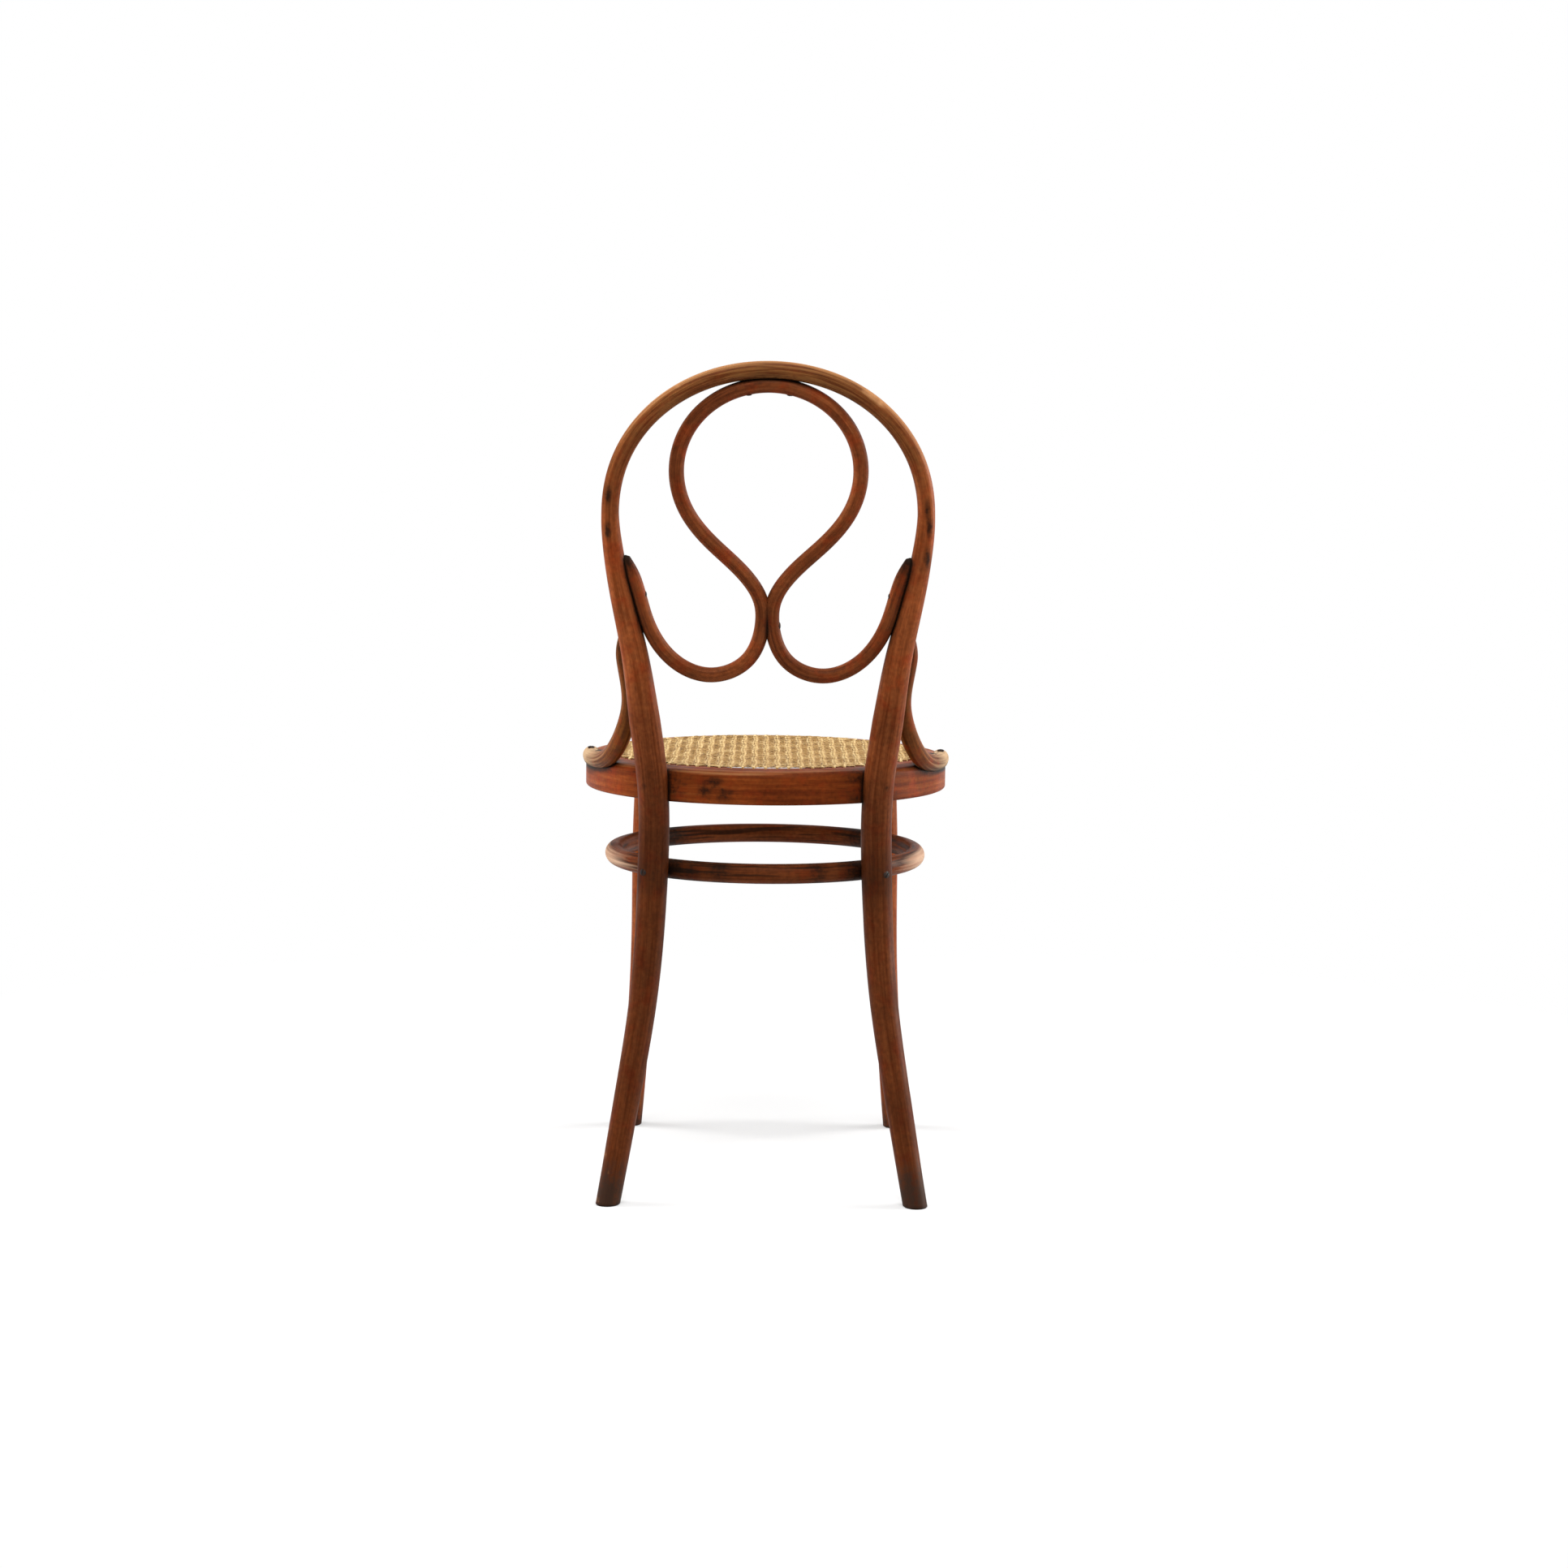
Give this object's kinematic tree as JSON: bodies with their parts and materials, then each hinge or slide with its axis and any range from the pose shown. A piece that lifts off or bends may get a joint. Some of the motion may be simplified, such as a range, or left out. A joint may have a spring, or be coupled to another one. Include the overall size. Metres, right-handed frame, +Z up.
{
  "type": "bentwood bistro chair",
  "caption": "Bentwood side chair with a round cane seat, a tall bent back holding a looped insert, hip braces, and a ring that joins its splayed legs.",
  "frame": {"origin": "on the floor, under the centre of the whole chair's box", "axes": "+Z up, +Y the way the sitter faces, +X towards the sitter's right hand"},
  "size_m": [0.4184, 0.4869, 0.9065],
  "materials": {
    "wood": "reddish brown stained beech, worn semi-gloss varnish",
    "cane": "natural woven rattan cane",
    "steel": "dark, tarnished steel"
  },
  "bodies": {
    "root": {"back_frame": "wood", "back_insert": "wood", "seat_ring": "wood", "leg_ring": "wood", "front_leg_left": "wood", "front_leg_right": "wood", "hip_brace_left": "wood", "hip_brace_right": "wood", "seat_cane": "cane", "seat_bolts": "steel", "seat_bolt_washers": "steel", "seat_bolt_nuts": "steel", "leg_ring_screws": "steel", "insert_top_screws": "steel", "insert_end_screws": "steel", "insert_middle_screw": "steel", "brace_seat_screws": "steel", "brace_upright_screws": "steel"}
  },
  "joints": []
}
